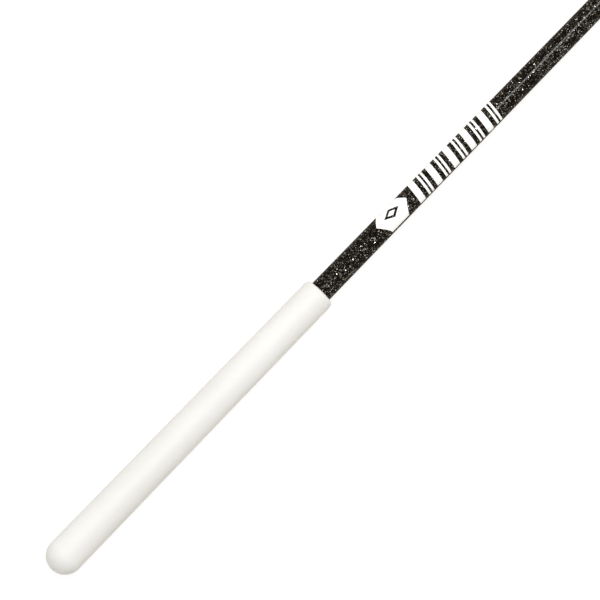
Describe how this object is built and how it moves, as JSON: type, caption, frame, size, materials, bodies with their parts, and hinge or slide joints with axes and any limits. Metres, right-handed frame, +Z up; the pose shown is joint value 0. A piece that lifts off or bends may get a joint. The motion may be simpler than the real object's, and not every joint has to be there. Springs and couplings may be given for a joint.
{
  "type": "gymnastics ribbon stick",
  "caption": "Slim tapered glitter rod with a soft white grip and a printed band, ending in a metal ferrule with a barrel swivel and a wire snap for a ribbon.",
  "frame": {"origin": "on the stick's axis, at the middle of the grip", "axes": "+X along the stick from the butt to the tip, +Z up as it lies on its side with the print facing up"},
  "size_m": [0.595, 0.0098, 0.0098],
  "materials": {
    "glass_fibre": "black glass-fibre rod, ground to a taper",
    "glitter": "clear gloss lacquer over black, full of fine silver flakes with a few warm ones",
    "white_ink": "opaque white pad-printed ink, satin",
    "silicone": "smooth white silicone rubber, satin",
    "nickel_brass": "bright nickel plate on brass",
    "steel_wire": "drawn stainless spring wire"
  },
  "bodies": {
    "stick": {"rod_core": "glass_fibre", "glitter_lacquer": "glitter", "printed_mark": "white_ink", "grip_sleeve": "silicone", "tip_ferrule": "nickel_brass", "tip_eye_pin": "steel_wire"},
    "rear_eye": {"swivel_rear_eye": "steel_wire"},
    "barrel": {"swivel_barrel": "nickel_brass"},
    "front_eye": {"swivel_front_eye": "steel_wire"},
    "snap": {"snap_clasp": "nickel_brass", "snap_wire": "steel_wire"},
    "arm": {"snap_arm": "steel_wire"}
  },
  "joints": [
    {"name": "swivel_swing", "type": "hinge", "parent": "stick", "child": "rear_eye", "pos_m": [0.51065, 0, 0], "axis": [0, 0, 1], "range_deg": [-90, 90]},
    {"name": "barrel_spin", "type": "hinge", "parent": "rear_eye", "child": "barrel", "pos_m": [0.5182, 0, 0], "axis": [1, 0, 0], "continuous": true},
    {"name": "front_eye_spin", "type": "hinge", "parent": "barrel", "child": "front_eye", "pos_m": [0.5182, 0, 0], "axis": [1, 0, 0], "continuous": true},
    {"name": "snap_swing", "type": "hinge", "parent": "front_eye", "child": "snap", "pos_m": [0.5269, 0, 0], "axis": [0, 0, 1], "range_deg": [-90, 90]},
    {"name": "snap_arm_open", "type": "hinge", "parent": "snap", "child": "arm", "pos_m": [0.54455, 0, 0], "axis": [0, 0, 1], "range_deg": [0, 25]}
  ]
}
